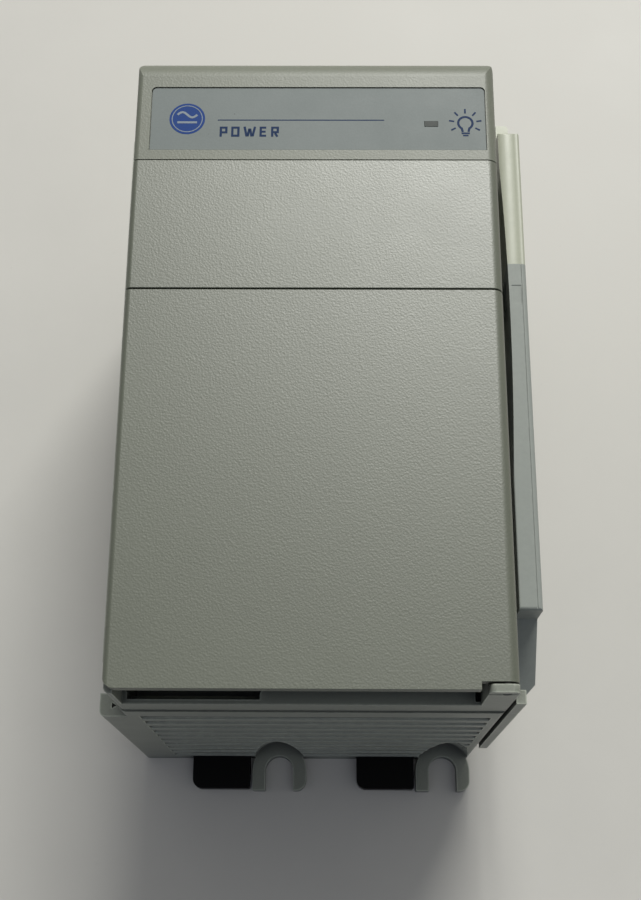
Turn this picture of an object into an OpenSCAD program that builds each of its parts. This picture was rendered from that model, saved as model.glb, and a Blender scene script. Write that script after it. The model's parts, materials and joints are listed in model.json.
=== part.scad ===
/* [Body] */
// Width of the rear housing, side to side
body_w = 70; // [69:0.5:72]
// Height of the housing, lower end to upper end
body_h = 118; // [117:0.5:122]
// Depth from the mounting plane to the front face
body_d = 87; // [86:0.5:92]
// Depth of the front cover in front of the rear housing
cover_d = 19.5; // [18:0.5:21]
// How far the front cover is set in from the left side
cover_inset = 4.3; // [3.5:0.1:4.8]
// Wall thickness of the moulded housings
wall = 2; // [1.8:0.1:2.2]

/* [Front panels] */
// Thickness of the door and the fixed panels
panel_t = 2.2; // [2:0.1:2.4]
// Height of the door's upper edge above the lower end
door_top = 69.9; // [68:0.1:72]
// Height of the line between the fixed panel and the top cap
cap_line = 95.8; // [94:0.1:97]
// Gap between the door and the fixed panel above it
seam = 0.3; // [0.25:0.05:0.6]
// Gap between the fixed panel and the top cap
cap_seam = 0.15; // [0.1:0.05:0.4]
// Radius of the rounded right-hand edge, centred on the hinge axis
edge_r = 2; // [1.8:0.1:2.2]
// Radius of the hinge pins
pin_r = 0.75; // [0.6:0.05:0.85]
// Radius of the rounded upper front edge
crown_r = 4.5; // [3:0.5:5]

/* [Nameplate] */
// Width of the nameplate
label_w = 60.9; // [56:0.1:62]
// Height of the nameplate
label_h = 13.1; // [11:0.1:13.4]
// Height of the nameplate's lower edge above the lower end
label_low = 97.95; // [97.5:0.05:98.5]

/* [Mounting tabs] */
// Distance between the two tabs of one end
tab_pitch = 35; // [34:0.5:35]
// Outer radius of a tab's arch
tab_r = 5.75; // [5.5:0.05:6]
// Radius of a tab's open slot
slot_r = 3; // [2.4:0.1:3.2]
// How far the tabs reach past the housing's ends
tab_reach = 7; // [6.5:0.5:8]
// Thickness of a tab
tab_t = 3; // [2.5:0.1:3.5]

/* [Rail mounting] */
// Width of the channel that takes a 35 mm rail
channel_w = 36.4; // [36:0.1:37]
// Depth of the channel
channel_d = 8; // [7.8:0.1:8.5]
// Width of a rail latch
latch_w = 12.2; // [11.6:0.1:12.4]
// How far a closed latch stands out of the housing
latch_reach = 6.7; // [6:0.1:7]

/* [Bus slide] */
// How far the slide stands out of the right-hand side
slide_out = 7.3; // [7:0.1:7.4]
// Thickness of the slide
slide_t = 4.2; // [4:0.1:4.4]
// Distance of the slide's front face behind the front face
slide_back = 20; // [20:0.5:22]

/* [Terminals] */
// Number of terminals in the block
terminals = 6; // [4:1:6]
// Distance between neighbouring terminals
terminal_pitch = 8.4; // [8:0.1:8.4]

/* [Ventilation] */
// Number of slots in each louvred wall
louvres = 10; // [6:1:10]
// Distance between neighbouring slots
louvre_pitch = 5.95; // [5.5:0.05:5.95]
// Width of one slot
louvre_gap = 3.2; // [2:0.1:3.6]

/* [Hidden] */
$fn = 64;

// limits of the housing
left = -body_w / 2;
right = body_w / 2;
low = -body_h / 2;
high = body_h / 2;
front = body_d;
cover_left = left + cover_inset;
split_z = front - cover_d;
flange_z = split_z - 5.5;
inner_left = left + wall;
cover_inner = cover_left + wall;
low_step = 0.35;
back_t = 5.2;
louvre_x = [-27.9, 33];
louvre_bevel = 0.35;
over = 1;

// front panels
plate_z = front - panel_t;
rim_z = plate_z - 0.2;
hinge_x = right - edge_r;
hinge_z = front - edge_r;
left_r = 1;
door_r = 2;
cap_r = 3.2;
housing_r = 3;
door_low = low + 0.8;
door_high = low + door_top;
panel_low = door_high + seam;
panel_high = low + cap_line - cap_seam / 2;
cap_low = low + cap_line + cap_seam / 2;
ear_low = low + 0.45;
ear_high = low + 1.8;
ear_x = right - 4.9;
ear_front = front - 0.2;
notch_w = 6.15;
notch_gap = 0.3;
pin_gap = 0.05;
entry_right = -6.3;
entry_low = front - 13;
recess_d = 2.3;
skirt_t = 1.2;
sill_t = 0.8;
ear_gap = [right - notch_w + 0.3, ear_x - 0.05];
deck_z = flange_z;
deck_t = 2;
deck_high = door_high - 0.2;

// bus slide and its pocket in the right-hand side
pocket_x = right - 4;
pocket_wall = pocket_x - wall;
pocket_low = low + 5.2;
pocket_high = high - 3.4;
pocket_z = 20;
slide_front = front - slide_back;
slide_right = right + slide_out;
slide_left = slide_right - slide_t;
slide_low = low + 5.7;
slide_high = high - 4;
slide_step_y = low + 18;
slide_step_z = [slide_front - 14.7, slide_front - 7.4];
slide_wall = 1.8;
slide_face = 4;
slide_z = 22;
lever_low = low + 85.4;
lever_high = high - 3.2;
lever_tab_z = 45;
relief_y = [low + 41, low + 107];
relief_d = 0.8;
relief_half = (relief_y[1] - relief_y[0]) / 2;
relief_r = (relief_half * relief_half + relief_d * relief_d) / (2 * relief_d);
line_x = slide_right - 1.1;
crest_r = 3.8;
crest_x = slide_left + 1.7;
crest_rise = 0.4;
bead_x = slide_right - 0.8;
mark_y = [lever_low - 8.3, lever_low - 4.5];
bar_y = [4, 20];
bar_z = [28.5, 31.5];
plug_y = [bar_y[0] - 3, bar_y[1] + 3];
plug_z = [25, 35];
socket_y = [-22, -2];
socket_z = [26, 38];

// mounting tabs and latches, for one end; the other end is the mirror image
tab_x = right - tab_r;
tab_xs = [tab_x - tab_pitch, tab_x];
tab_drop = 2.8;
scoop_tilt = 7.2;
scoop_r = tab_r + 0.3;
latch_xs = [for (x = tab_xs) x - tab_r - 0.5 - latch_w / 2];
latch_z = [1.1, 3.9];
hook_y = channel_w / 2 - 2.3;
hook_z = 6.2;

// inside
board_z = [12, 13.6];
board_x = [-31, 24];
board_y = 55;
board_fix_x = [-27, 20];
board_fix_y = 50;
deck_fix_x = 25.5;
deck_fix_y = [low + 7, deck_high - 4.8];
screw_r = 1.25;
block_x = [-22, -6];
block_low = low + 10.5;
block_high = block_low + terminals * terminal_pitch + 1.4;
block_top = deck_z + deck_t + 8;
screw_x = (block_x[0] + block_x[1]) / 2;
fuse_x = 16;
fuse_y = low + 19;
fuse_body_r = 5.9;
fuse_collar_r = 7.6;
fuse_knob_r = 6.2;
fuse_stem_r = 2.9;
fuse_tube_r = 2.3;
fuse_end_r = 2.6;
fuse_depth = 24;
selector_x = 16;
selector_y = low + 42;
selector_w = 14;
selector_l = 22;
key_w = 6;
key_l = 8;

// main transformer: two windows in the core, one winding round the middle limb
core_x = [-28, 6];
core_y = [-46, -20];
core_z = [16, 42];
core_limb = 5;
core_window = 7;
coil_gap = 0.2;
coil_overhang = 4;
coil_foot_x = [-20, -2];

// other parts on the main board
bulk_xs = [-20, 2];
bulk_y = -7;
bulk_r = 8;
bulk_top = 48;
sink_x = [-26, 18];
sink_y = [28, 31];
sink_top = 52;
fin_reach = 15;
fin_t = 2;
fin_pitch = 5.2;
transistor_xs = [-18, -2, 12];
transistor_w = 10;
transistor_z = [20, 35];
transistor_tab = 40;
choke_x = 10;
choke_y = 12;
choke_r = 6.5;
choke_wire_r = 4;
output_xs = [-24, -14, -5];
output_r = 4;
output_top = 23.5;
filter_x = [12, 23.5];
filter_y = [-34, -14];
filter_top = 30;
inlet_x = [4, 16.5];
inlet_y = [-53, -48];
inlet_top = 24;
lens_x = 23.2;
lens_y = low + 103.45;
label_mid = 2.6;

// ---- shared shapes ----
module span(x, y, z) {
    translate([x[0], y[0], z[0]])
    cube([x[1] - x[0], y[1] - y[0], z[1] - z[0]]);
}

module post(x, y, z, r) {
    translate([x, y, z[0]])
    cylinder(r = r, h = z[1] - z[0]);
}

module rod_y(x, y, z, r) {
    translate([x, y[0], z])
    rotate([-90, 0, 0])
    cylinder(r = r, h = y[1] - y[0]);
}

// extrudes an X-Z section along Y
module along_y(y) {
    translate([0, y[1], 0])
    rotate([90, 0, 0])
    linear_extrude(y[1] - y[0])
    children();
}

// extrudes a Y-Z section along X
module along_x(x) {
    translate([x[0], 0, 0])
    rotate([90, 0, 90])
    linear_extrude(x[1] - x[0])
    children();
}

// rectangle with its own radius at each corner: lower left, lower right, upper right, upper left
module soft_rect(x, y, r) {
    difference() {
        translate([x[0], y[0]])
        square([x[1] - x[0], y[1] - y[0]]);
        corner_cut(x[0], y[0], 1, 1, r[0]);
        corner_cut(x[1], y[0], -1, 1, r[1]);
        corner_cut(x[1], y[1], -1, -1, r[2]);
        corner_cut(x[0], y[1], 1, -1, r[3]);
    }
}

module corner_cut(x, y, sx, sy, r) {
    if (r > 0) {
        difference() {
            translate([x + sx * (r - over) / 2, y + sy * (r - over) / 2])
            square([r + over, r + over], center = true);
            translate([x + sx * r, y + sy * r])
            circle(r);
        }
    }
}

// section of a front panel: a flat plate whose right edge is a full barrel about the hinge axis
module panel_section() {
    difference() {
        translate([cover_left, plate_z])
        square([hinge_x - cover_left, panel_t]);
        corner_cut(cover_left, front, 1, -1, left_r);
    }
    translate([hinge_x, hinge_z])
    circle(edge_r);
}

module both_ends() {
    children();
    mirror([0, 1, 0])
    children();
}

// ---- rear housing ----
module housing_outline() {
    linear_extrude(flange_z)
    soft_rect([left, right], [low, high], [1, 1, cap_r, housing_r]);
    translate([0, 0, flange_z - 0.5])
    linear_extrude(split_z - flange_z + 0.5)
    soft_rect([cover_left, right], [low, high], [1, 1, cap_r, cap_r]);
}

module housing_hollow() {
    span([inner_left, pocket_wall], [low + wall, high - wall], [back_t, flange_z - wall]);
    span([cover_inner, pocket_wall], [low + wall, high - wall], [flange_z - wall - 1, split_z + 1]);
    span([pocket_wall - 1, right - wall], [low + wall, high - wall], [back_t, pocket_z - wall]);
}

module louvre_slots() {
    for (i = [0 : louvres - 1]) {
        z = split_z - 6.8 - i * louvre_pitch;
        bottom = z - louvre_gap / 2;
        along_x(louvre_x)
        polygon([
            [low - over, bottom - louvre_bevel - over],
            [low + louvre_bevel, bottom],
            [low + wall + 0.2, bottom],
            [low + wall + 0.2, bottom + louvre_gap],
            [low - over, bottom + louvre_gap]
        ]);
    }
}

// tilted round column; low_y is the lowest Y that it keeps
module tab_scoop(x, r, z, low_y) {
    intersection() {
        translate([x, low - tab_drop, tab_t])
        rotate([scoop_tilt, 0, 0])
        translate([0, 0, -5])
        cylinder(r = r, h = 60);
        span([x - 9, min(x + 9, right)], [low_y, low + 9], z);
    }
}

module tab_plate(x) {
    linear_extrude(tab_t)
    difference() {
        union() {
            intersection() {
                translate([x, low - tab_drop])
                circle(tab_r);
                translate([x - tab_r, low - tab_drop])
                square([2 * tab_r, tab_r]);
            }
            soft_rect([x - tab_r, x + tab_r], [low - tab_reach, low - tab_drop], [0.3, 2.2, 0, 0]);
        }
        translate([x, low - tab_drop])
        circle(slot_r);
        translate([x - slot_r, low - tab_reach - over])
        square([2 * slot_r, tab_reach + over - tab_drop]);
    }
}

module latch_tunnel(x) {
    w = latch_w / 2 + 0.2;
    span([x - w, x + w], [low - over, over - channel_w / 2], [latch_z[0] - 0.2, latch_z[1] + 0.2]);
    span([x - w, x + w], [-channel_w / 2 - 3.6, over - channel_w / 2], [latch_z[0], hook_z + 0.2]);
}

// tongue of the sliding joint to the next module: a web with a lip hanging from it
module tongue(z, base) {
    span([right - 0.5, right + 2], [base + 1.6, base + 2.3], z);
    span([right + 0.35, right + 2], [base, base + 2.3], z);
}

module rear_housing() {
    color("lightslategray")
    difference() {
        union() {
            difference() {
                housing_outline();
                housing_hollow();
                both_ends()
                louvre_slots();
            }
            span([inner_left - 0.5, right - 0.5], [-channel_w / 2 - 5, channel_w / 2 + 5],
                 [0.5, channel_d + 2.2]);
            span([pocket_wall, right], [pocket_low - 1.8, pocket_high + 1.8], [pocket_z - wall, pocket_z]);
            both_ends()
            for (x = tab_xs) {
                tab_plate(x);
                tab_scoop(x, scoop_r + 0.9, [0, 34], low + 1.2);
            }
            // ledges that carry the terminal deck
            for (x = [[inner_left - 0.5, cover_inner + 1.6], [pocket_wall - 1.6, pocket_wall + 0.5]])
                span(x, [low + 1, high - 1], [flange_z - 4.5, flange_z - wall]);
            for (sx = [-1, 1], y = deck_fix_y) {
                post(sx * deck_fix_x, y, [flange_z - 12, flange_z - wall], 3);
                span([min(sx * deck_fix_x, sx * 29.5), max(sx * deck_fix_x, sx * 29.5)],
                     [y - 3, y + 3], [flange_z - 12, flange_z - wall]);
                if (sx < 0)
                    span([inner_left - 0.5, -29], [y - 3, y + 3], [flange_z - 12, flange_z - wall]);
            }
            for (x = board_fix_x, sy = [-1, 1])
                post(x, sy * board_fix_y, [back_t - 0.5, board_z[0]], 3);
            tongue([20, split_z], low);
            mirror([0, 1, 0])
            tongue([10, 40], low);
        }
        // rail channel across the back, with the latch tunnels that open into it
        span([left - over, right + over], [-channel_w / 2, channel_w / 2], [-over, channel_d]);
        both_ends()
        for (x = latch_xs)
            latch_tunnel(x);
        // round reliefs that let a screwdriver reach the tabs' slots
        both_ends()
        for (x = tab_xs)
            tab_scoop(x, scoop_r, [tab_t, 60], low - 12);
        both_ends()
        for (x = tab_xs)
            post(x, low - tab_drop, [-over, tab_t + over], slot_r);
        // pocket for the bus slide, with a notch for the lever's tab in the upper wall
        span([pocket_x, right + over], [pocket_low, pocket_high], [pocket_z, split_z + over]);
        span([pocket_x, right + over], [pocket_high - over, high + over],
             [lever_tab_z - 0.4, split_z + over]);
        // windows for the crossbar, the movable connector and the pins
        span([pocket_wall - over, pocket_x + over], [bar_y[0] - 0.4, bar_y[1] + 0.4],
             [bar_z[0] - 0.4, bar_z[1] + 0.4]);
        span([left - over, inner_left + over], [plug_y[0] - 0.4, plug_y[1] + 0.4],
             [plug_z[0] - 0.4, plug_z[1] + 0.4]);
        span([pocket_wall - over, pocket_x + over], [socket_y[0] + 2, socket_y[1] - 2],
             [socket_z[0] + 2.5, socket_z[1] - 2.5]);
        // grooves in the left side for the neighbouring module's tongues
        both_ends()
        span([left - over, left + 1.2], [low + 2.8, low + 5], [10, flange_z - 1.2]);
        // relief notch in the corner flange
        span([left - over, cover_left], [low + 4, low + 9.5], [flange_z - 5, flange_z + over]);
        // small drain hole in the corner flange
        translate([left + 2.4, low + 1.9, flange_z - 1])
        cylinder(r = 0.55, h = 2, $fn = 3);
        for (x = board_fix_x, sy = [-1, 1])
            post(x, sy * board_fix_y, [board_z[0] - 6, board_z[0] + over], screw_r);
        for (sx = [-1, 1], y = deck_fix_y)
            post(sx * deck_fix_x, y, [flange_z - 11, flange_z + over], screw_r);
    }
}

// ---- front cover ----
module front_bezel() {
    base = low + low_step;
    color("lightslategray")
    difference() {
        union() {
            translate([0, 0, split_z])
            linear_extrude(rim_z - split_z)
            difference() {
                soft_rect([cover_left, right], [base, panel_high], [1, 0.4, 0, 0]);
                translate([cover_inner, base + wall])
                square([right - wall - cover_inner, panel_high - base]);
            }
            // skirt behind the recess beside the wire entry
            span([entry_right, right - wall], [base + wall - 0.1, base + recess_d + skirt_t],
                 [split_z, rim_z]);
            // roof of the slide's pocket
            span([pocket_wall, right - 0.5], [base + 0.5, panel_high], [split_z, split_z + 1.8]);
            // hinge ear at the lower end
            along_y([ear_low, ear_high])
            soft_rect([ear_x, right - 0.05], [split_z + 1, ear_front], [0, 0, 1.2, 1]);
            // lip that the fixed panel rests on
            span([cover_left + 0.5, right - 0.5], [panel_low + 0.4, panel_low + 3], [rim_z - 4, rim_z]);
            tongue([split_z, front - 9], low);
        }
        // room for the hinge barrel
        span([hinge_x - edge_r - 0.5, right + over], [ear_high, panel_high + over],
             [hinge_z - edge_r - 0.4, front + over]);
        // wire entry: a deep opening at the left, a shallow recess beside it
        span([cover_left + 1.4, entry_right], [base - over, base + wall + over], [entry_low, front]);
        span([entry_right - over, ear_gap[1]], [base - over, base + recess_d], [entry_low, front]);
        // thinner wall below the wire entry
        span([cover_inner + 0.2, entry_right - 0.2], [base + sill_t, base + wall + over],
             [split_z + 2.2, entry_low + over]);
        // gap beside the ear, with a pocket behind its sill
        span(ear_gap, [base - over, base + recess_d + skirt_t + over], [entry_low, front]);
        span(ear_gap, [base + 0.6, base + recess_d + skirt_t + over], [split_z + 2.2, entry_low + over]);
        rod_y(hinge_x, [ear_low - over, ear_high + over], hinge_z, pin_r);
    }
}

// cap solid: three rounded sections crossed with one another
module cap_solid() {
    intersection() {
        along_x([cover_left, right])
        soft_rect([cap_low, high], [split_z, front], [0, 0, crown_r, 0]);
        along_y([cap_low, high])
        soft_rect([cover_left, right], [split_z, front], [0, 0, edge_r, left_r]);
        translate([0, 0, split_z])
        linear_extrude(cover_d)
        soft_rect([cover_left, right], [cap_low, high], [0.6, 0.6, cap_r, cap_r]);
    }
}

module top_cap() {
    color("lightslategray")
    difference() {
        cap_solid();
        intersection() {
            span([cover_inner, right - wall], [cap_low - over, high - wall], [split_z + 1.8, plate_z]);
            along_x([cover_left, right])
            soft_rect([cap_low - 2, high - wall], [split_z - 2, plate_z], [0, 0, crown_r - 1.5, 0]);
        }
        span([cover_inner, pocket_wall], [cap_low - over, high - wall], [split_z - over, split_z + 3]);
        // recess for the nameplate
        translate([label_mid, low + label_low, front - 0.5])
        linear_extrude(over)
        soft_rect([-label_w / 2 - 0.12, label_w / 2 + 0.12], [-0.12, label_h + 0.12], [0, 0, 0.9, 0.9]);
        span([lens_x - 1.25, lens_x + 1.25], [lens_y - 0.6, lens_y + 0.6], [plate_z - over, front]);
    }
}

module upper_panel() {
    color("lightslategray")
    difference() {
        union() {
            along_y([panel_low, panel_high])
            panel_section();
            // two snap ribs on the back
            for (y = [panel_low + 6, panel_high - 7.2])
                span([cover_inner + 1.5, right - 8], [y, y + 1.2], [plate_z - 5, plate_z + 0.2]);
        }
        rod_y(hinge_x, [panel_low - over, panel_low + 4.5], hinge_z, pin_r);
    }
}

module hinge_pins() {
    color("silver") {
        rod_y(hinge_x, [ear_low + 0.1, ear_high + 5], hinge_z, pin_r);
        rod_y(hinge_x, [panel_low - 5, panel_low + 4.4], hinge_z, pin_r);
    }
}

module nameplate() {
    color("lightsteelblue")
    difference() {
        translate([label_mid, low + label_low, front - 0.5])
        linear_extrude(0.3)
        soft_rect([-label_w / 2, label_w / 2], [0, label_h], [0.15, 0.15, 0.8, 0.8]);
        span([lens_x - 1.25, lens_x + 1.25], [lens_y - 0.6, lens_y + 0.6], [front - over, front]);
    }
}

module status_lens() {
    color("dimgray")
    span([lens_x - 1.2, lens_x + 1.2], [lens_y - 0.55, lens_y + 0.55], [plate_z - 1.5, front - 0.15]);
}

module status_led() {
    color("green") {
        post(lens_x, lens_y, [78, 80], 1.6);
        translate([lens_x, lens_y, 80])
        sphere(r = 1.6);
        post(lens_x, lens_y, [77.6, 78], 1.9);
    }
}

module status_board() {
    color("darkgreen")
    span([-16, 28], [cap_low + 1, high - 5], [76, 77.6]);
}

// ---- door ----
module terminal_door() {
    color("lightslategray")
    difference() {
        union() {
            intersection() {
                along_y([door_low, door_high])
                panel_section();
                translate([0, 0, front - 8])
                linear_extrude(8)
                soft_rect([cover_left, right], [door_low, door_high], [door_r, 0.4, 0.4, 0.4]);
            }
            // stiffening rim set in from the edges
            difference() {
                span([cover_inner + 0.6, hinge_x - 6], [door_low + 11, door_high - 4],
                     [plate_z - 3, plate_z + 0.2]);
                span([cover_inner + 1.8, hinge_x - 7.2], [door_low + 12.2, door_high - 5.2],
                     [plate_z - 4, plate_z]);
            }
        }
        // notch for the hinge ear
        span([right - notch_w, right + over], [door_low - over, ear_high + notch_gap],
             [plate_z - 5, front + over]);
        rod_y(hinge_x, [ear_high - over, ear_high + 5.6], hinge_z, pin_r + pin_gap);
        rod_y(hinge_x, [door_high - 5.6, door_high + over], hinge_z, pin_r + pin_gap);
    }
}

module terminal_chart() {
    color("white")
    span([-22, 18], [low + 14, low + 62], [plate_z - 0.35, plate_z]);
}

// ---- terminal compartment ----
module terminal_deck() {
    color("gray")
    difference() {
        union() {
            span([cover_inner + 0.1, pocket_wall - 0.1], [low + wall + 0.1, deck_high],
                 [deck_z - wall, deck_z]);
            span([cover_inner + 0.1, pocket_wall - 0.1], [deck_high - 1.6, deck_high],
                 [deck_z - wall, rim_z - 4.4]);
        }
        post(fuse_x, fuse_y, [deck_z - 4, deck_z + over], 6.1);
        for (sx = [-1, 1], y = deck_fix_y)
            post(sx * deck_fix_x, y, [deck_z - 4, deck_z + over], screw_r + 0.35);
    }
}

// screw with a slotted pan head; z is the underside of the head
module slot_screw(x, y, z, head_r, head_h, shank) {
    difference() {
        union() {
            post(x, y, [z, z + head_h], head_r);
            post(x, y, [z - shank, z + 0.1], screw_r);
        }
        span([x - head_r - 1, x + head_r + 1], [y - 0.35, y + 0.35], [z + head_h - 0.8, z + head_h + 1]);
    }
}

module deck_screws() {
    color("silver")
    for (sx = [-1, 1], y = deck_fix_y)
        slot_screw(sx * deck_fix_x, y, deck_z, 2.6, 1.8, 10);
}

function terminal_y(i) = block_low + 0.7 + (i + 0.5) * terminal_pitch;

module terminal_block() {
    color("darkslategray")
    difference() {
        union() {
            span(block_x, [block_low, block_high], [deck_z, block_top]);
            for (i = [0 : terminals]) {
                y = block_low + i * terminal_pitch;
                span(block_x, [y, y + 1.4], [block_top - 0.5, block_top + 6]);
            }
        }
        for (i = [0 : terminals - 1]) {
            post(screw_x, terminal_y(i), [deck_z + 1, block_top + over], screw_r + 0.2);
            span([block_x[0] - over, block_x[0] + 4], [terminal_y(i) - 2.2, terminal_y(i) + 2.2],
                 [block_top - 5, block_top - 1]);
        }
    }
}

module terminal_clamps() {
    color("lightgray")
    for (i = [0 : terminals - 1])
        difference() {
            span([screw_x - 4.2, screw_x + 4.2], [terminal_y(i) - 3.2, terminal_y(i) + 3.2],
                 [block_top, block_top + 1.2]);
            post(screw_x, terminal_y(i), [block_top - over, block_top + 2], screw_r + 0.15);
        }
}

module terminal_screws() {
    color("silver")
    for (i = [0 : terminals - 1])
        slot_screw(screw_x, terminal_y(i), block_top + 1.2, 2.9, 2.2, 6.5);
}

module fuse_holder() {
    color("black")
    difference() {
        union() {
            post(fuse_x, fuse_y, [deck_z, deck_z + 2], fuse_collar_r);
            post(fuse_x, fuse_y, [deck_z - fuse_depth, deck_z + 0.5], fuse_body_r);
        }
        post(fuse_x, fuse_y, [deck_z - fuse_depth + 1.5, deck_z + 3], fuse_stem_r + 0.3);
    }
}

module fuse_cap() {
    top = deck_z + 9.5;
    color("black")
    difference() {
        union() {
            post(fuse_x, fuse_y, [deck_z + 2.1, top], fuse_knob_r);
            post(fuse_x, fuse_y, [deck_z - 0.6, deck_z + 2.4], fuse_stem_r);
        }
        span([fuse_x - 5, fuse_x + 5], [fuse_y - 0.6, fuse_y + 0.6], [top - 1.5, top + 1.5]);
        // grip flutes round the knob
        for (a = [0 : 20 : 340])
            translate([fuse_x, fuse_y, 0])
            rotate([0, 0, a])
            post(fuse_knob_r + 0.5, 0, [deck_z + 3.2, top + 1.5], 0.7);
    }
}

module fuse_cartridge() {
    foot = deck_z - fuse_depth + 1.8;
    tube = [deck_z - 17, deck_z - 6];
    color("gainsboro") {
        post(fuse_x, fuse_y, tube, fuse_tube_r);
        post(fuse_x, fuse_y, [foot, tube[0]], fuse_end_r);
        post(fuse_x, fuse_y, [tube[1], deck_z - 0.9], fuse_end_r);
    }
}

module selector_body() {
    color("black")
    difference() {
        span([selector_x - selector_w / 2, selector_x + selector_w / 2],
             [selector_y - selector_l / 2, selector_y + selector_l / 2], [deck_z, deck_z + 6]);
        span([selector_x - key_w / 2 - 0.3, selector_x + key_w / 2 + 0.3],
             [selector_y - key_l + 0.7, selector_y + key_l - 0.7], [deck_z + 2, deck_z + 7]);
    }
}

module selector_slider() {
    top = deck_z + 7.5;
    color("firebrick")
    difference() {
        span([selector_x - key_w / 2, selector_x + key_w / 2], [selector_y + 1 - key_l, selector_y + 1],
             [deck_z + 2.1, top]);
        // screwdriver slot
        span([selector_x - 2.2, selector_x + 2.2], [selector_y - 3.5, selector_y - 2.5],
             [top - 1.2, top + 0.5]);
    }
}

// ---- bus slide ----
// long shallow relief that keeps the inner edge clear of the housing
module slide_relief() {
    translate([slide_left + relief_d - relief_r, (relief_y[0] + relief_y[1]) / 2, slide_z - over])
    cylinder(r = relief_r, h = slide_front - slide_z + 2 * over, $fn = 1440);
}

// Y-Z outline of the carriage: full height, then a step down to a slope at the lower end
module carriage_side() {
    polygon([
        [slide_low, slide_z],
        [lever_low, slide_z],
        [lever_low, slide_front],
        [slide_step_y, slide_front],
        [slide_step_y, slide_step_z[1]],
        [slide_low, slide_step_z[0]]
    ]);
}

module bus_carriage() {
    color("slategray")
    difference() {
        intersection() {
            along_x([slide_left, slide_right])
            carriage_side();
            along_y([slide_low, lever_low])
            soft_rect([slide_left, slide_right], [slide_z, slide_front], [0, 0.5, 0.8, 0.3]);
        }
        span([slide_left - over, slide_right - slide_wall], [slide_step_y + 1.8, lever_low - 1.6],
             [slide_z + 1.6, slide_front - slide_face]);
        span([slide_left - over, slide_right - slide_wall], [slide_low + 1.8, slide_step_y + 2.5],
             [slide_z + 1.6, slide_step_z[0] - 2.2]);
        // window around the fixed connector
        span([slide_left - over, slide_right + over], [socket_y[0] - 3, socket_y[1] + 3],
             [socket_z[0] - 3, socket_z[1] + 3]);
        // bevelled lower corner
        translate([slide_right, slide_low, 0])
        rotate([0, 0, 45])
        span([-3, 3], [-3, 1.1], [slide_z - over, slide_front]);
        // rounded edge where the slide steps down
        along_x([slide_left - over, slide_right + over])
        corner_cut(slide_step_y, slide_front, 1, -1, 0.7);
        // shallow marking recess under the lever, and a fine line along the outer edge
        span([slide_left + relief_d + 0.5, line_x], mark_y, [slide_front - 0.12, slide_front + over]);
        span([line_x, line_x + 0.2], [slide_step_y - over, lever_low + over],
             [slide_front - 0.15, slide_front + over]);
        slide_relief();
    }
}

// X-Z section of the lever: a crowned face with a lower strip along its right edge
module lever_section() {
    soft_rect([slide_left, slide_right], [slide_z, slide_front - crest_rise], [0, 0.5, 0.5, 0]);
    intersection() {
        translate([crest_x, slide_front - crest_r])
        circle(crest_r);
        translate([slide_left, slide_front - 2])
        square([bead_x - slide_left, 2]);
    }
}

module bus_lever() {
    color("silver")
    difference() {
        union() {
            along_y([lever_low, slide_high])
            lever_section();
            // upper end, which passes through the notch in the housing's wall
            intersection() {
                along_y([slide_high - 2, lever_high])
                lever_section();
                translate([0, 0, lever_tab_z])
                linear_extrude(slide_front - lever_tab_z)
                soft_rect([slide_left, slide_right], [slide_high - 2, lever_high], [0, 0, 0.8, 0]);
            }
            // tab above the lever, set back from its face
            translate([0, 0, lever_tab_z])
            linear_extrude(slide_front - 3 - lever_tab_z)
            soft_rect([slide_left, slide_right - 1.8], [slide_high - 1, high], [0, 0, 0.8, 0]);
        }
        span([slide_left - over, slide_right - slide_wall], [lever_low + 1.6, slide_high - 1.8],
             [slide_z + 1.6, slide_front - slide_face]);
        slide_relief();
        // rounded upper edge of the face
        along_x([slide_left - over, slide_right + over])
        corner_cut(lever_high, slide_front, -1, -1, 1.2);
    }
}

module bus_crossbar() {
    color("slategray")
    span([inner_left + 6.2, slide_right - slide_wall], bar_y, bar_z);
}

module movable_connector() {
    color("black")
    difference() {
        span([left + 0.2, inner_left + 6.2], plug_y, plug_z);
        for (j = [0, 1], i = [0 : 7])
            span([left - over, left + 6], [plug_y[0] + 2.6 + i * 2.3, plug_y[0] + 3.6 + i * 2.3],
                 [plug_z[0] + 2.6 + j * 3.8, plug_z[0] + 3.6 + j * 3.8]);
    }
}

module fixed_connector() {
    color("black")
    difference() {
        span([pocket_x, pocket_x + 3.6], socket_y, socket_z);
        span([pocket_x + 1, pocket_x + 5], [socket_y[0] + 1, socket_y[1] - 1],
             [socket_z[0] + 1, socket_z[1] - 1]);
        span([pocket_x - over, pocket_x + 2], [socket_y[0] + 2, socket_y[1] - 2],
             [socket_z[0] + 2.5, socket_z[1] - 2.5]);
    }
}

module bus_pins() {
    color("gold") {
        for (j = [0, 1], i = [0 : 5])
            span([pocket_wall - 2, pocket_x + 3.2],
                 [socket_y[0] + 3.95 + i * 2.3, socket_y[0] + 4.55 + i * 2.3],
                 [socket_z[0] + 3.8 + j * 3.8, socket_z[0] + 4.4 + j * 3.8]);
        span([pocket_wall + 0.3, pocket_x + 0.7], [socket_y[0] + 2.2, socket_y[1] - 2.2],
             [socket_z[0] + 2.7, socket_z[1] - 2.7]);
    }
}

module bus_board() {
    color("darkgreen")
    span([pocket_wall - 3.6, pocket_wall - 2], [socket_y[0] - 3, socket_y[1] + 3],
         [socket_z[0] - 4, socket_z[1] + 4]);
}

// ---- rail latches ----
module rail_latch(x) {
    w = latch_w / 2;
    y_out = low - latch_reach;
    difference() {
        union() {
            translate([0, 0, latch_z[0]])
            linear_extrude(latch_z[1] - latch_z[0])
            soft_rect([x - w, x + w], [y_out, -hook_y], [2, 0.4, 0, 0]);
            span([x - w, x + w], [-channel_w / 2 + 0.1, -hook_y], [latch_z[0], hook_z]);
        }
        span([x - 3.6, x + 3.6], [low + 8, -channel_w / 2 - 8], [0, latch_z[1] + over]);
    }
}

module latch_lower_left() {
    color("black")
    rail_latch(latch_xs[0]);
}

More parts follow.
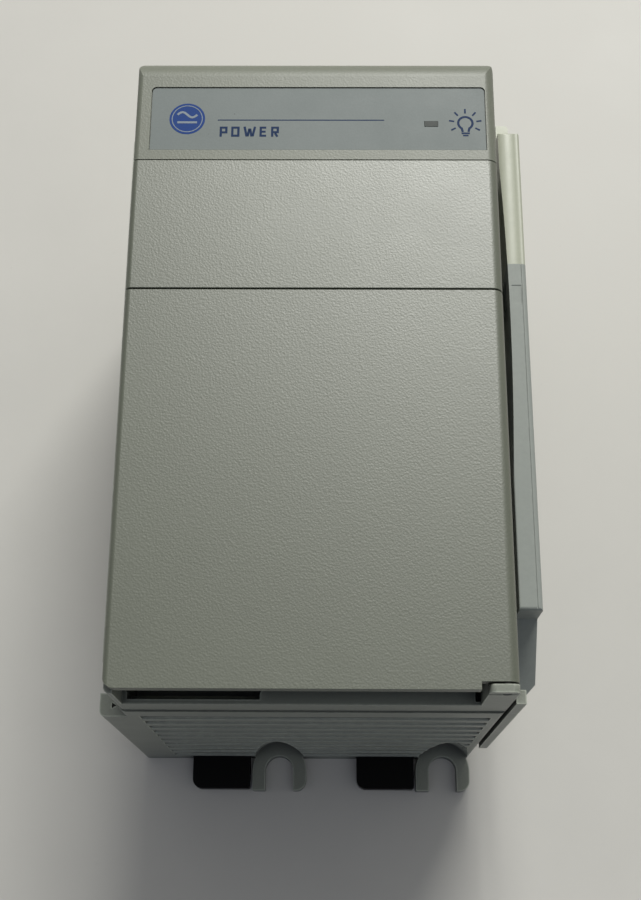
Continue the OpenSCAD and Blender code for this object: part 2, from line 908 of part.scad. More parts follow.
module latch_lower_right() {
    color("black")
    rail_latch(latch_xs[1]);
}

module latch_upper_left() {
    color("black")
    mirror([0, 1, 0])
    rail_latch(latch_xs[0]);
}

module latch_upper_right() {
    color("black")
    mirror([0, 1, 0])
    rail_latch(latch_xs[1]);
}

module ground_clip() {
    color("silver") {
        span([-5, 5], [-14, 14], [channel_d - 0.5, channel_d]);
        span([-3, 3], [-14, -12], [channel_d - 1.4, channel_d - 0.4]);
        span([-3, 3], [12, 14], [channel_d - 1.4, channel_d - 0.4]);
    }
}

// ---- electronics ----
module main_board() {
    color("darkgreen")
    difference() {
        span(board_x, [-board_y, board_y], board_z);
        for (x = board_fix_x, sy = [-1, 1])
            post(x, sy * board_fix_y, [board_z[0] - over, board_z[1] + over], screw_r + 0.35);
    }
}

module board_screws() {
    color("silver")
    for (x = board_fix_x, sy = [-1, 1])
        slot_screw(x, sy * board_fix_y, board_z[1], 2.6, 1.8, 7.4);
}

module transformer_core() {
    color("dimgray")
    difference() {
        span(core_x, core_y, core_z);
        for (x = [core_x[0] + core_limb, core_x[1] - core_limb - core_window])
            span([x, x + core_window], [core_y[0] - over, core_y[1] + over],
                 [core_z[0] + core_limb, core_z[1] - core_limb]);
    }
}

module transformer_coil() {
    edge = core_limb + coil_gap;
    inner = core_limb + core_window - 0.05;
    color("goldenrod")
    difference() {
        span([core_x[0] + edge, core_x[1] - edge], [core_y[0] - coil_overhang, core_y[1] + coil_overhang],
             [core_z[0] + edge, core_z[1] - edge]);
        span([core_x[0] + inner, core_x[1] - inner], [core_y[0] - 0.05, core_y[1] + 0.05],
             [core_z[0] + edge - over, core_z[1] - edge + over]);
    }
    color("black")
    span(coil_foot_x, [core_y[0] - coil_overhang, core_y[0] - 0.3], [board_z[1], core_z[0] + edge]);
}

module bulk_capacitors() {
    color("midnightblue")
    for (x = bulk_xs)
        difference() {
            post(x, bulk_y, [board_z[1], bulk_top], bulk_r);
            // crimped groove in the top
            translate([x, bulk_y, bulk_top - 0.4])
            rotate_extrude()
            translate([bulk_r - 0.8, 0])
            square([0.4, 1]);
        }
}

module heat_sink() {
    color("silver") {
        span(sink_x, sink_y, [board_z[1], sink_top]);
        for (x = [sink_x[0] : fin_pitch : sink_x[1] - fin_t])
            span([x, x + fin_t], [sink_y[1] - 0.1, sink_y[1] + fin_reach], [board_z[1], sink_top]);
    }
}

module power_transistors() {
    half = transistor_w / 2;
    color("black")
    for (x = transistor_xs)
        difference() {
            union() {
                span([x - half, x + half], [sink_y[0] - 4.6, sink_y[0]], transistor_z);
                span([x - half, x + half], [sink_y[0] - 1.4, sink_y[0]],
                     [transistor_z[1] - 0.1, transistor_tab]);
                // three leads down to the board
                for (dx = [-2.5, 0, 2.5])
                    span([x + dx - 0.4, x + dx + 0.4], [sink_y[0] - 3, sink_y[0] - 2.4],
                         [board_z[1], transistor_z[0] + 0.2]);
            }
            rod_y(x, [sink_y[0] - 6, sink_y[0] + 1], transistor_tab - 2.6, 1.6);
        }
}

module output_choke() {
    color("darkorange")
    translate([choke_x, choke_y, board_z[1] + choke_wire_r + 0.1])
    rotate_extrude()
    translate([choke_r, 0])
    circle(r = choke_wire_r);
}

module output_capacitors() {
    color("midnightblue")
    for (x = output_xs)
        post(x, choke_y, [board_z[1], output_top], output_r);
}

module line_filter() {
    color("yellow")
    span(filter_x, filter_y, [board_z[1], filter_top]);
    color("black")
    span(inlet_x, inlet_y, [board_z[1], inlet_top]);
}

rear_housing();
front_bezel();
top_cap();
upper_panel();
hinge_pins();
nameplate();
status_lens();
status_led();
status_board();
terminal_door();
terminal_chart();
terminal_deck();
deck_screws();
terminal_block();
terminal_clamps();
terminal_screws();
fuse_holder();
fuse_cap();
fuse_cartridge();
selector_body();
selector_slider();
bus_carriage();
bus_lever();
bus_crossbar();
movable_connector();
fixed_connector();
bus_pins();
bus_board();
latch_lower_left();
latch_lower_right();
latch_upper_left();
latch_upper_right();
ground_clip();
main_board();
board_screws();
transformer_core();
transformer_coil();
bulk_capacitors();
heat_sink();
power_transistors();
output_choke();
output_capacitors();
line_filter();
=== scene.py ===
"""Looks of a plc power supply module: finishes, print, rounded edges, floor, light and camera."""
import json
import math

import bmesh
import bpy
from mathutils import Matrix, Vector


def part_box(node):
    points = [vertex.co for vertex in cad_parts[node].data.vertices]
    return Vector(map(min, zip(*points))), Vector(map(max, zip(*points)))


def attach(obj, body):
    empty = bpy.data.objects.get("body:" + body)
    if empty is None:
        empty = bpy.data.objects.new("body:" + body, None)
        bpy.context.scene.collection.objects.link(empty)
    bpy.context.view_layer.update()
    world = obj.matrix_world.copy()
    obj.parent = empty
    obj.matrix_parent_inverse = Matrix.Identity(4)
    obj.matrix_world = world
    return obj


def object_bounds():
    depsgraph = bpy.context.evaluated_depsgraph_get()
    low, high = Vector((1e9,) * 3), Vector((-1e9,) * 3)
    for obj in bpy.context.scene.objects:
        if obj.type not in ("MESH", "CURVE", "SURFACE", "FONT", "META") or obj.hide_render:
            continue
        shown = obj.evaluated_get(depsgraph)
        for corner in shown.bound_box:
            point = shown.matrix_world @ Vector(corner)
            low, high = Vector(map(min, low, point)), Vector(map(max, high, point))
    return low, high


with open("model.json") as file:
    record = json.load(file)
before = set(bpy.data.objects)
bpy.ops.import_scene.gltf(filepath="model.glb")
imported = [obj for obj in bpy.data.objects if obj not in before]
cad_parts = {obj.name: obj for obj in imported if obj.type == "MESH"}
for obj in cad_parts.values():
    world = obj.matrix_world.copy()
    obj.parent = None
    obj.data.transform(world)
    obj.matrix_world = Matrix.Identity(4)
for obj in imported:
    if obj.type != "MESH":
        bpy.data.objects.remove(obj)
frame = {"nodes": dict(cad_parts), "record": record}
CAD_LOW, CAD_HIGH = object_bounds()
MM = 0.001
scene = bpy.context.scene


# ---- shader helper ----
class Finish:
    """A Principled material and the few node chains that its surfaces share."""

    def __init__(self, name, colour, metallic=0.0, specular=0.5):
        self.material = bpy.data.materials.new(name)
        self.material.use_nodes = True
        self.tree = self.material.node_tree
        self.shader = self.tree.nodes["Principled BSDF"]
        self.colour = colour
        self.shader.inputs["Metallic"].default_value = metallic
        self.shader.inputs["Specular IOR Level"].default_value = specular
        self.place = self.node("ShaderNodeTexCoord").outputs["Object"]
        self.heights = []

    def node(self, kind, **settings):
        made = self.tree.nodes.new(kind)
        for key, value in settings.items():
            setattr(made, key, value)
        return made

    def link(self, source, target):
        if hasattr(source, "is_output"):
            self.tree.links.new(source, target)
        else:
            target.default_value = source

    def stretched(self, scale):
        made = self.node("ShaderNodeMapping")
        self.link(self.place, made.inputs["Vector"])
        made.inputs["Scale"].default_value = scale
        return made.outputs["Vector"]

    def noise(self, size, detail=2.0, rough=0.5, place=None):
        """Noise whose cells are about size metres across."""
        made = self.node("ShaderNodeTexNoise")
        self.link(place or self.place, made.inputs["Vector"])
        made.inputs["Scale"].default_value = 1.0 / size
        made.inputs["Detail"].default_value = detail
        made.inputs["Roughness"].default_value = rough
        return made.outputs["Fac"]

    def cells(self, size, feature="F1"):
        made = self.node("ShaderNodeTexVoronoi", feature=feature)
        self.link(self.place, made.inputs["Vector"])
        made.inputs["Scale"].default_value = 1.0 / size
        return made

    def math(self, kind, a, b=0.0):
        made = self.node("ShaderNodeMath", operation=kind)
        self.link(a, made.inputs[0])
        self.link(b, made.inputs[1])
        return made.outputs[0]

    def spread(self, value, low, high, to_low, to_high):
        made = self.node("ShaderNodeMapRange", clamp=True)
        self.link(value, made.inputs["Value"])
        for key, number in (("From Min", low), ("From Max", high), ("To Min", to_low), ("To Max", to_high)):
            made.inputs[key].default_value = number
        return made.outputs["Result"]

    def mix(self, share, a, b):
        made = self.node("ShaderNodeMix", data_type="RGBA")
        self.link(share, made.inputs["Factor"])
        for key, value in (("A", a), ("B", b)):
            target = next(s for s in made.inputs if s.name == key and s.type == "RGBA")
            self.link(value, target)
        return next(s for s in made.outputs if s.type == "RGBA")

    def edges(self, radius, full=0.86):
        """1 along outer edges and 0 on flats: how far a rounded normal turns away from the face's own."""
        rounded = self.node("ShaderNodeBevel", samples=4)
        rounded.inputs["Radius"].default_value = radius
        flat = self.node("ShaderNodeNewGeometry").outputs["Normal"]
        dot = self.node("ShaderNodeVectorMath", operation="DOT_PRODUCT")
        self.link(rounded.outputs["Normal"], dot.inputs[0])
        self.link(flat, dot.inputs[1])
        return self.spread(dot.outputs["Value"], 0.995, full, 0.0, 1.0)

    def crevices(self, reach):
        """1 in narrow gaps and 0 in the open."""
        shade = self.node("ShaderNodeAmbientOcclusion", samples=8)
        shade.inputs["Distance"].default_value = reach
        return self.spread(shade.outputs["AO"], 0.35, 0.85, 1.0, 0.0)

    def raise_by(self, value, depth):
        self.heights.append((value, depth))

    def close(self, colour, roughness):
        """Links colour, roughness and the bump chain, and gives the material back."""
        self.link(colour, self.shader.inputs["Base Color"])
        self.link(roughness, self.shader.inputs["Roughness"])
        normal = None
        for value, depth in self.heights:
            bump = self.node("ShaderNodeBump")
            bump.inputs["Strength"].default_value = 1.0
            bump.inputs["Distance"].default_value = depth
            self.link(value, bump.inputs["Height"])
            if normal is not None:
                self.link(normal, bump.inputs["Normal"])
            normal = bump.outputs["Normal"]
        if normal is not None:
            self.link(normal, self.shader.inputs["Normal"])
        return self.material


def tone(colour, factor):
    return tuple(min(1.0, c * factor) for c in colour[:3]) + (1.0,)


# sizes of the marks on moulded plastic, in millimetres
CLOUD, SPECK_PITCH, LIT_AND_WORN_EDGE, CHIP, HANDLED, GAP = 16, 4.2, 0.45, 1.3, 9, 4
# how dark a speck is beside the plastic, and how dark the painted shade in a gap is
SPECK_TONE, GAP_SHADE_TONE = 0.35, 0.12


def moulded(
    name, colour, roughness, grain=0.45, depth=0.03, mottle=0.05, edge_wear_and_highlight=0.25, lit_and_worn_edge_tone=1.55, specks=True,
    specular=0.75, ior=1.5, rub=0.05, gap_shade=0.0, full=0.86, chip=0.15,
):
    """Moulded plastic: spark-eroded grain, cloudy colour, dark specks, paler edges that are partly wear and partly
    a painted highlight, and painted shade darkening narrow gaps.
    """
    f = Finish(name, colour, specular=specular)
    f.shader.inputs["IOR"].default_value = ior
    fine = f.noise(grain * MM, detail=3.0, rough=0.6)
    pebble = f.cells(grain * 1.3 * MM, "SMOOTH_F1").outputs["Distance"]
    cloud = f.noise(CLOUD * MM, detail=4.0)
    base = f.mix(f.spread(cloud, 0.3, 0.7, 0.0, 1.0), tone(colour, 1 - mottle), tone(colour, 1 + mottle))
    base = f.mix(f.spread(fine, 0.35, 0.65, 0.0, 1.0), base, tone(colour, 1.0))
    dark, light = tone(colour, 1 - mottle * 1.6), tone(colour, 1 + mottle * 1.2)
    lively = f.mix(f.spread(fine, 0.3, 0.72, 0.0, 1.0), dark, light)
    base = f.mix(0.5, base, lively)
    if specks:
        dots = f.cells(SPECK_PITCH * MM)
        rare = f.node("ShaderNodeSeparateColor")
        f.link(dots.outputs["Color"], rare.inputs["Color"])
        chosen = f.spread(rare.outputs[0], 0.80, 0.82, 0.0, 1.0)
        size = f.spread(dots.outputs["Distance"], 0.022, 0.038, 1.0, 0.0)
        shown = f.math("MULTIPLY", f.math("MULTIPLY", chosen, size), 0.55)
        base = f.mix(shown, base, tone(colour, SPECK_TONE))
    # paler edges: partly wear, partly a painted highlight where edges would catch the light (strongest on the
    # shell)
    edge = f.edges(LIT_AND_WORN_EDGE * MM, full)
    chipped = f.spread(f.noise(CHIP * MM, detail=4.0), 0.42, 0.66, chip, 1.0)
    base = f.mix(f.math("MULTIPLY", f.math("MULTIPLY", edge, chipped), edge_wear_and_highlight), base, tone(colour, lit_and_worn_edge_tone))
    # painted shade: narrow gaps and openings darkened by an ambient-occlusion mask
    if gap_shade:
        base = f.mix(f.math("MULTIPLY", f.crevices(GAP * MM), gap_shade), base, tone(colour, GAP_SHADE_TONE))
    handled = f.noise(HANDLED * MM, detail=5.0, rough=0.65)
    rough = f.spread(handled, 0.3, 0.7, roughness - rub, roughness + rub)
    f.raise_by(fine, depth * 0.6 * MM)
    f.raise_by(pebble, depth * MM)
    return f.close(base, rough)


def metal(name, colour, roughness, along=(1, 1, 12)):
    """Bare or plated metal with drawn streaks, faint tarnish and rubbed edges."""
    f = Finish(name, colour, metallic=1.0)
    streak = f.noise(0.5 * MM, detail=3.0, place=f.stretched(along))
    tarnish = f.noise(2.5 * MM, detail=5.0)
    base = f.mix(f.spread(tarnish, 0.35, 0.7, 0.0, 1.0), tone(colour, 1.0), tone(colour, 0.72))
    base = f.mix(f.math("MULTIPLY", f.edges(0.2 * MM), 0.4), base, tone(colour, 1.3))
    f.raise_by(streak, 0.008 * MM)
    return f.close(base, f.spread(streak, 0.3, 0.7, roughness - 0.08, roughness + 0.12))


def solder_mask(name, colour):
    """Green circuit board with paler tracks under the mask, tinned pads and glass cloth at its edges."""
    f = Finish(name, colour)
    tracks = f.node("ShaderNodeTexBrick", offset=0.37, squash=1.0)
    f.link(f.place, tracks.inputs["Vector"])
    tracks.inputs["Scale"].default_value = 1.0 / (9 * MM)
    tracks.inputs["Mortar Size"].default_value = 0.06
    tracks.inputs["Color1"].default_value = tone(colour, 1.0)
    tracks.inputs["Color2"].default_value = tone(colour, 0.8)
    tracks.inputs["Mortar"].default_value = tone(colour, 1.7)
    pads = f.cells(4.5 * MM).outputs["Distance"]
    ring = f.spread(pads, 0.13, 0.16, 1.0, 0.0)
    base = f.mix(ring, tracks.outputs["Color"], (0.55, 0.54, 0.50, 1.0))
    f.raise_by(tracks.outputs["Fac"], 0.03 * MM)
    f.raise_by(f.noise(0.8 * MM), 0.01 * MM)
    return f.close(base, f.spread(f.noise(3 * MM), 0.3, 0.7, 0.28, 0.45))


def wound(name, colour, pitch, roughness):
    """Wire or tape laid in turns: bands across the winding with a groove between neighbours."""
    f = Finish(name, colour)
    turns = f.node("ShaderNodeTexWave", wave_type="BANDS", bands_direction="Z")
    f.link(f.place, turns.inputs["Vector"])
    turns.inputs["Scale"].default_value = 0.05 / (pitch * MM) * math.tau
    turns.inputs["Distortion"].default_value = 0.6
    # darker colour where the turns meet: painted shade in the grooves
    base = f.mix(turns.outputs["Fac"], tone(colour, 0.55), tone(colour, 1.15))
    f.raise_by(turns.outputs["Fac"], 0.12 * MM)
    f.raise_by(f.noise(1.5 * MM), 0.03 * MM)
    return f.close(base, f.spread(f.noise(2 * MM), 0.3, 0.7, roughness - 0.08, roughness + 0.1))


def paper(name, colour):
    """Coated card with faint fibres."""
    f = Finish(name, colour, specular=0.3)
    fibre = f.noise(0.25 * MM, detail=5.0, rough=0.7, place=f.stretched((1, 4, 1)))
    cloud = f.noise(9 * MM, detail=3.0)
    base = f.mix(f.spread(cloud, 0.3, 0.7, 0.0, 1.0), tone(colour, 0.94), tone(colour, 1.03))
    base = f.mix(f.spread(fibre, 0.3, 0.75, 0.0, 0.35), base, tone(colour, 0.86))
    f.raise_by(fibre, 0.012 * MM)
    return f.close(base, f.spread(fibre, 0.3, 0.7, 0.52, 0.7))


# height of the middle of the fuse's glass, half its length, and the blur where it meets the caps
GLASS_MIDDLE, GLASS_HALF, GLASS_BLUR = 50.5 * MM, 5.5 * MM, 0.05 * MM


def tube(name, colour):
    """Fuse cartridge: clear glass between two plated caps."""
    f = Finish(name, colour)
    split = f.node("ShaderNodeSeparateXYZ")
    f.link(f.place, split.inputs["Vector"])
    away = f.math("ABSOLUTE", f.math("SUBTRACT", split.outputs["Z"], GLASS_MIDDLE))
    middle = f.spread(away, GLASS_HALF - GLASS_BLUR, GLASS_HALF, 1.0, 0.0)
    f.link(f.math("SUBTRACT", 1.0, middle), f.shader.inputs["Metallic"])
    haze = f.noise(1.1 * MM, detail=3.0)
    f.raise_by(haze, 0.01 * MM)
    base = f.mix(middle, (0.60, 0.60, 0.58, 1.0), tone(colour, 1.0))
    base = f.mix(f.spread(haze, 0.4, 0.8, 0.0, 0.3), base, tone(colour, 0.75))
    return f.close(base, f.spread(haze, 0.3, 0.7, 0.08, 0.22))


finishes = {
    # shell: the door's plastic given a paler base tone, painted light that lifts its shaded sides; its strong pale
    # edges are a painted highlight and its darkened gaps painted shade
    "shell": moulded(
        "shell_grey", (0.210, 0.224, 0.188), 0.46, grain=0.26, depth=0.022, mottle=0.08, edge_wear_and_highlight=0.9, lit_and_worn_edge_tone=2.6,
        gap_shade=0.85, full=0.94, chip=0.55,
    ),
    "door": moulded(
        "door_grey", (0.089, 0.099, 0.066), 0.46, grain=0.26, depth=0.022, mottle=0.12, ior=1.78, rub=0.012
    ),
    "cap": moulded("cap_grey", (0.150, 0.160, 0.124), 0.46, grain=0.26, depth=0.022, mottle=0.10, rub=0.012),
    "label": moulded("label_film", (0.190, 0.213, 0.208), 0.50, grain=0.3, depth=0.006, edge_wear_and_highlight=0.1, specular=0.25),
    "lens": moulded("lens_smoke", (0.045, 0.052, 0.048), 0.45, depth=0.004, edge_wear_and_highlight=0.1, specks=False, specular=0.2),
    "led": moulded("led_green", (0.12, 0.42, 0.14), 0.18, depth=0.004, edge_wear_and_highlight=0.05, specks=False),
    # lever: paler than the slide's plastic, partly a painted highlight on its face
    "lever": moulded("lever_grey", (0.385, 0.400, 0.315), 0.44, grain=0.9, depth=0.008, mottle=0.04),
    "slide": moulded("slide_grey", (0.280, 0.300, 0.280), 0.48, grain=0.9, depth=0.010, mottle=0.04, specular=0.3),
    "black": moulded(
        "black_nylon", (0.0015, 0.0017, 0.002), 0.42, grain=0.6, depth=0.006, edge_wear_and_highlight=0.05, specks=False, specular=0.12
    ),
    "board": solder_mask("board_green", (0.035, 0.16, 0.06)),
    "steel": metal("zinc_steel", (0.60, 0.60, 0.57), 0.30),
    "gold": metal("gold_flash", (0.83, 0.62, 0.24), 0.22),
    "deck": moulded("deck_grey", (0.16, 0.17, 0.175), 0.55),
    "block": moulded("block_black", (0.025, 0.027, 0.03), 0.42, depth=0.015, specks=False),
    "card": paper("card_white", (0.74, 0.74, 0.70)),
    "glass_tube": tube("fuse_tube", (0.70, 0.76, 0.76)),
    "red": moulded("selector_red", (0.45, 0.03, 0.025), 0.30, depth=0.008, specks=False),
    "ferrite": moulded("ferrite_grey", (0.06, 0.06, 0.064), 0.7, grain=0.35, depth=0.05, specks=False),
    "copper": wound("taped_coil", (0.55, 0.34, 0.05), 2.4, 0.45),
    "sleeve": moulded("sleeve_blue", (0.015, 0.035, 0.11), 0.24, depth=0.01, specks=False),
    "aluminium": metal("cut_aluminium", (0.72, 0.73, 0.74), 0.34, along=(1, 1, 20)),
    "choke": wound("enamel_wire", (0.50, 0.19, 0.04), 0.9, 0.25),
    "film": moulded("film_yellow", (0.60, 0.44, 0.04), 0.35, depth=0.01, specks=False),
}


def ink(name, colour):
    """Screen-printed ink: a thin, slightly uneven layer."""
    f = Finish(name, colour, specular=0.10)
    thin = f.noise(0.35 * MM, detail=4.0)
    base = f.mix(f.spread(thin, 0.45, 0.8, 0.0, 0.45), tone(colour, 1.0), tone(colour, 1.5))
    f.raise_by(thin, 0.006 * MM)
    return f.close(base, f.spread(thin, 0.3, 0.7, 0.44, 0.58))


blue_ink = ink("print_blue", (0.020, 0.055, 0.205))
navy_ink = ink("print_navy", (0.012, 0.030, 0.085))
pale_ink = ink("print_pale", (0.240, 0.275, 0.310))
dark_ink = ink("print_dark", (0.030, 0.032, 0.036))


# ---- carried-over CAD nodes ----
slot_of = {part["node"]: part["material_slot"] for part in frame["record"]["subparts"]}
own_finish = {"top_cap": "cap"}  # nodes whose finish differs from their slot's
for name, node in frame["nodes"].items():
    node.data.materials.clear()
    node.data.materials.append(finishes[own_finish.get(name, slot_of[name])])


SEAM = 0.002 * MM  # corners nearer than this are one corner
COPLANAR, CORNER = math.radians(0.2), math.radians(40)


def soften(name, width):
    """Rounds a CAD node's outer edges without touching its own mesh; the width is in millimetres."""
    node = frame["nodes"][name]
    weld = node.modifiers.new("weld", "WELD")
    weld.merge_threshold = SEAM
    flat = node.modifiers.new("flat", "DECIMATE")
    flat.decimate_type = "DISSOLVE"
    flat.angle_limit = COPLANAR
    round_edge = node.modifiers.new("round", "BEVEL")
    round_edge.width = width * MM
    round_edge.segments = 2
    round_edge.limit_method = "ANGLE"
    round_edge.angle_limit = CORNER
    round_edge.use_clamp_overlap = True
    round_edge.harden_normals = False
    even = node.modifiers.new("even", "WEIGHTED_NORMAL")
    even.keep_sharp = False


# ---- printed marks on the nameplate ----
plate_low, plate_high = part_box("nameplate")
LABEL_Z = plate_high.z


def sheet_piece(name, loops, z, thick, material):
    """Flat printed shape: each loop is a closed outline in X and Y, in metres."""
    mesh = bmesh.new()
    for loop in loops:
        low = [mesh.verts.new((x, y, z)) for x, y in loop]
        high = [mesh.verts.new((x, y, z + thick)) for x, y in loop]
        mesh.faces.new(high)
        mesh.faces.new(low[::-1])
        for i in range(len(loop)):
            j = (i + 1) % len(loop)
            mesh.faces.new((low[i], low[j], high[j], high[i]))
    bmesh.ops.recalc_face_normals(mesh, faces=mesh.faces)
    data = bpy.data.meshes.new(name)
    mesh.to_mesh(data)
    mesh.free()
    data.materials.append(material)
    piece = bpy.data.objects.new(name, data)
    scene.collection.objects.link(piece)
    return piece


def ribbon(points, width, closed=False):
    """Stroke along a line of points, as quads that share mitred corners and never overlap."""
    points = [Vector(p) for p in points]
    count = len(points)
    sides = []
    for i, point in enumerate(points):
        before = points[i] - points[i - 1] if closed or i > 0 else points[1] - points[0]
        after = points[(i + 1) % count] - point if closed or i < count - 1 else before
        across = before.normalized() + after.normalized()
        across = Vector((-across.y, across.x)).normalized()
        flat = Vector((-before.y, before.x)).normalized()
        reach = across * (width / 2 / max(0.35, across.dot(flat)))
        sides.append((tuple(point + reach), tuple(point - reach)))
    last = count if closed else count - 1
    return [[sides[i][1], sides[(i + 1) % count][1], sides[(i + 1) % count][0], sides[i][0]] for i in range(last)]


def ring(centre, radius, start, end, steps=32):
    """Points along part of a circle; angles in degrees."""
    angles = [math.radians(start + (end - start) * i / steps) for i in range(steps + 1)]
    return [(centre[0] + radius * math.cos(a), centre[1] + radius * math.sin(a)) for a in angles]


def circle(centre, radius, count):
    """Points of a full circle, without a doubled end."""
    return ring(centre, radius, 0, 360 - 360 / count, count - 1)


def moved(points, x, y):
    """Points in millimetres about a place in metres."""
    return [(x + px * MM, y + py * MM) for px, py in points]


def printed(name, loops, material, z, body="frame"):
    """A print: a flat shape of ink that rides on a body."""
    piece = sheet_piece(name, loops, z, PRINT, material)
    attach(piece, body)
    return piece


PRINT = 0.02 * MM  # thickness of the ink
LEFT, LOW = plate_low.x, plate_low.y

# round emblem with a direct and an alternating current sign
EMBLEM = (LEFT + 6.6 * MM, LOW + 6.5 * MM)
printed("print_emblem", [circle(EMBLEM, 3.25 * MM, 64)], blue_ink, LABEL_Z)
sine = [(-1.8 + 3.6 * i / 24, 0.85 + 0.55 * math.sin(math.tau * i / 24)) for i in range(25)]
printed(
    "print_emblem_sign",
    ribbon(moved(sine, *EMBLEM), 0.42 * MM)
    + ribbon(moved([(-1.8, -0.75), (1.8, -0.75)], *EMBLEM), 0.42 * MM)
    + ribbon(circle(EMBLEM, 2.75 * MM, 64), 0.16 * MM, closed=True),
    pale_ink,
    LABEL_Z + PRINT,
)

rule = moved([(12.2, 6.25), (42.5, 6.25)], LEFT, LOW)
printed("print_line", ribbon(rule, 0.2 * MM), navy_ink, LABEL_Z)

# block capitals: centre lines of the strokes in millimetres, 2.1 high
STEM = 0.42
LETTERS = {
    "P": ([(0.2, 0), (0.2, 1.9), (1.2, 1.9), (1.2, 0.9), (0.41, 0.9)],),
    "O": ([(0.2, 0.2), (0.2, 1.9), (1.3, 1.9), (1.3, 0.2)],),
    "W": ([(0.15, 2.1), (0.52, 0.25), (0.78, 0.25), (1.0, 1.5),
           (1.2, 1.5), (1.42, 0.25), (1.68, 0.25), (2.05, 2.1)],),
    "E": ([(1.2, 1.9), (0.2, 1.9), (0.2, 0.2), (1.2, 0.2)], [(0.41, 1.05), (1.1, 1.05)]),
    "R": ([(0.2, 0), (0.2, 1.9), (1.2, 1.9), (1.2, 0.95), (0.41, 0.95)], [(0.72, 0.74), (1.15, 0)]),
}
WIDTHS = {"P": 2.1, "O": 2.25, "W": 2.9, "E": 2.1, "R": 2.1}
strokes = []
pen = LEFT + 12.6 * MM
for letter in "POWER":
    for stroke in LETTERS[letter]:
        strokes += ribbon(moved(stroke, pen, LOW + 2.75 * MM), STEM * MM, closed=letter == "O")
    pen += WIDTHS[letter] * MM
printed("print_word", strokes, navy_ink, LABEL_Z)

# lamp sign beside the lens: bulb, base and seven rays
lens_low, lens_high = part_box("status_lens")
LAMP = (lens_high.x + 5.0 * MM, (lens_low.y + lens_high.y) / 2 + 0.15 * MM)
bulb = ring((0, 0), 1.3, -58, 238)
lamp = ribbon(moved([(0.52, -1.85)] + bulb + [(-0.52, -1.85)], *LAMP), 0.42 * MM)
lamp += ribbon(moved([(-0.75, -2.15), (0.75, -2.15)], *LAMP), 0.34 * MM)
lamp += ribbon(moved([(-0.5, -2.62), (0.5, -2.62)], *LAMP), 0.3 * MM)
for angle in range(-30, 211, 40):
    a = math.radians(angle)
    ray = [(r * math.cos(a), r * math.sin(a)) for r in (2.05, 3.0)]
    lamp += ribbon(moved(ray, *LAMP), 0.32 * MM)
printed("print_lamp", lamp, navy_ink, LABEL_Z)


# ---- printed wiring chart inside the door ----
chart_low, chart_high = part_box("terminal_chart")
CHART_Z = chart_low.z - PRINT
CHART = ((chart_low.x + chart_high.x) / 2, (chart_low.y + chart_high.y) / 2)
grid = ribbon(moved([(-18, -22), (18, -22), (18, 22), (-18, 22)], *CHART), 0.35 * MM, closed=True)
for row in range(6):
    y = -17.5 + row * 6.2
    grid += ribbon(moved(circle((-13, y), 1.5, 24), *CHART), 0.3 * MM, closed=True)
    grid += ribbon(moved([(-11.3, y), (-4 + 3 * (row % 3), y)], *CHART), 0.28 * MM)
    grid += ribbon(moved([(8, y - 0.6), (15.5, y - 0.6)], *CHART), 0.5 * MM)
for x in (-2, 4):
    grid += ribbon(moved([(x, -19.5), (x + 3, -19.5), (x + 3, 17), (x, 17)], *CHART), 0.3 * MM, closed=True)
printed("print_chart", grid, dark_ink, CHART_Z, body="door")


# ---- rounded edges on the mouldings, in millimetres ----
for name, width in (
    ("rear_housing", 0.2),
    ("front_bezel", 0.18),
    ("upper_panel", 0.2),
    ("terminal_door", 0.2),
    ("bus_carriage", 0.25),
    ("bus_lever", 0.3),
    ("nameplate", 0.06),
    ("fuse_cap", 0.2),
    ("selector_body", 0.2),
    ("selector_slider", 0.15),
    ("terminal_block", 0.15),
):
    soften(name, width)


# ---- floor, light and camera ----
def floor_finish():
    """Pale matt table with faint clouds and flecks."""
    f = Finish("table_top", (0.60, 0.585, 0.55), specular=0.35)
    cloud = f.noise(35 * MM, detail=5.0, rough=0.6)
    fleck = f.noise(1.1 * MM, detail=4.0)
    base = f.mix(f.spread(cloud, 0.3, 0.7, 0.0, 1.0), tone(f.colour, 0.975), tone(f.colour, 1.025))
    base = f.mix(f.spread(fleck, 0.68, 0.78, 0.0, 0.25), base, tone(f.colour, 0.86))
    f.raise_by(fleck, 0.01 * MM)
    return f.close(base, f.spread(cloud, 0.3, 0.7, 0.5, 0.62))


FLOOR_HALF = 4.0  # metres
FLOOR_GAP = 0.05 * MM  # below the lowest face, so the two don't flicker


def make_floor():
    mesh = bmesh.new()
    bmesh.ops.create_grid(mesh, x_segments=8, y_segments=8, size=FLOOR_HALF)
    for vert in mesh.verts:
        vert.co.z = CAD_LOW.z - FLOOR_GAP
    data = bpy.data.meshes.new("floor")
    mesh.to_mesh(data)
    mesh.free()
    data.materials.append(floor_finish())
    floor = bpy.data.objects.new("floor", data)
    scene.collection.objects.link(floor)


def area_light(name, place, aim, size, watts, colour):
    data = bpy.data.lights.new(name, "AREA")
    data.shape = "RECTANGLE"
    data.size, data.size_y = size
    data.energy = watts
    data.color = colour
    light = bpy.data.objects.new(name, data)
    light.location = place
    light.rotation_euler = (Vector(aim) - Vector(place)).to_track_quat("-Z", "Y").to_euler()
    scene.collection.objects.link(light)


ROOM_DARK, ROOM_BRIGHT = (0.062, 0.074, 0.125, 1.0), (0.47, 0.47, 0.445, 1.0)
BRIGHT_SIDE, RAMP_START, RAMP_END = (0.22, 0.80, 0.36), -0.55, 0.80
MIX_A, MIX_B, MIX_RESULT = 6, 7, 2  # colour sockets of a Mix node


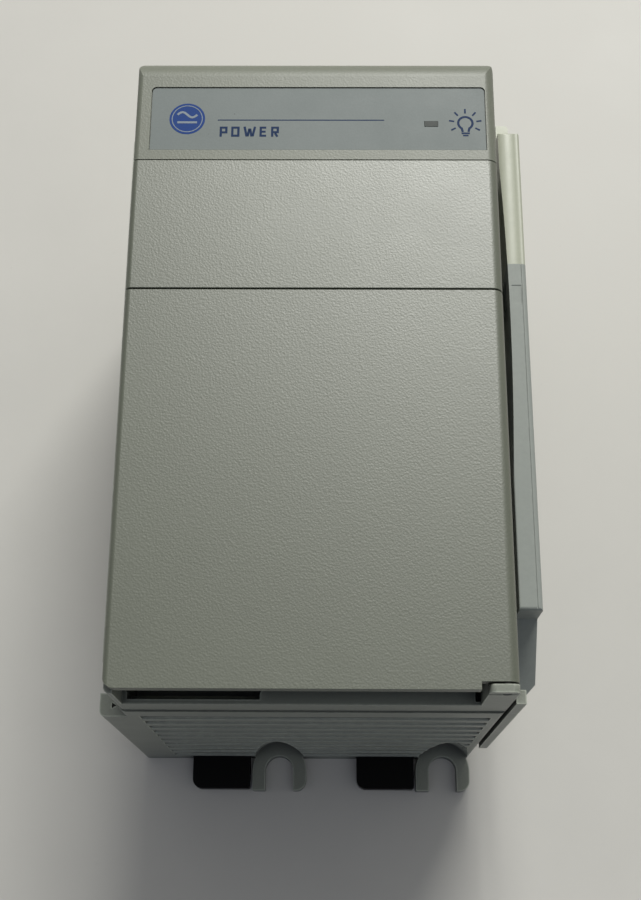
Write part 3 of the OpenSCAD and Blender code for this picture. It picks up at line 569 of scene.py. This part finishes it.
def make_world():
    """Room light: a dim blue on the module's lower side, brighter and warmer past its upper end."""
    world = bpy.data.worlds.new("room")
    world.use_nodes = True
    tree = world.node_tree
    sky = tree.nodes["Background"]
    place = tree.nodes.new("ShaderNodeTexCoord")
    along = tree.nodes.new("ShaderNodeVectorMath")
    along.operation = "DOT_PRODUCT"
    along.inputs[1].default_value = BRIGHT_SIDE
    ramp = tree.nodes.new("ShaderNodeMapRange")
    mix = tree.nodes.new("ShaderNodeMix")
    mix.data_type = "RGBA"
    tree.links.new(place.outputs["Generated"], along.inputs[0])
    tree.links.new(along.outputs["Value"], ramp.inputs["Value"])
    ramp.inputs["From Min"].default_value = RAMP_START
    ramp.inputs["From Max"].default_value = RAMP_END
    tree.links.new(ramp.outputs["Result"], mix.inputs["Factor"])
    mix.inputs[MIX_A].default_value = ROOM_DARK
    mix.inputs[MIX_B].default_value = ROOM_BRIGHT
    tree.links.new(mix.outputs[MIX_RESULT], sky.inputs["Color"])
    sky.inputs["Strength"].default_value = 1.0
    scene.world = world


CAMERA_PLACE = (5.289, -92.249, 293.870)  # millimetres
CAMERA_TURN = (19.585, 0.400, 0.330)  # degrees
CAMERA_LENS, CAMERA_SENSOR = 52.946, 36.0


def make_camera():
    data = bpy.data.cameras.new("camera")
    data.lens = CAMERA_LENS
    data.sensor_width = CAMERA_SENSOR
    data.clip_start, data.clip_end = 0.01, 20.0
    camera = bpy.data.objects.new("camera", data)
    camera.location = tuple(c * MM for c in CAMERA_PLACE)
    camera.rotation_euler = tuple(math.radians(a) for a in CAMERA_TURN)
    scene.collection.objects.link(camera)
    scene.camera = camera


LIGHTS = (  # name; place, aim and size in metres; watts; colour
    ("window", (0.277, 1.035, 1.189), (0.0, 0.0, 0.04), (0.66, 0.53), 21.2, (1.0, 1.0, 0.955)),
    ("room", (0.10, -0.50, 0.56), (0.0, -0.06, 0.03), (0.35, 0.35), 0.20, (0.80, 0.90, 1.0)),
)
make_floor()
make_world()
for lamp_row in LIGHTS:
    area_light(*lamp_row)
make_camera()
scene.view_settings.view_transform = "Standard"
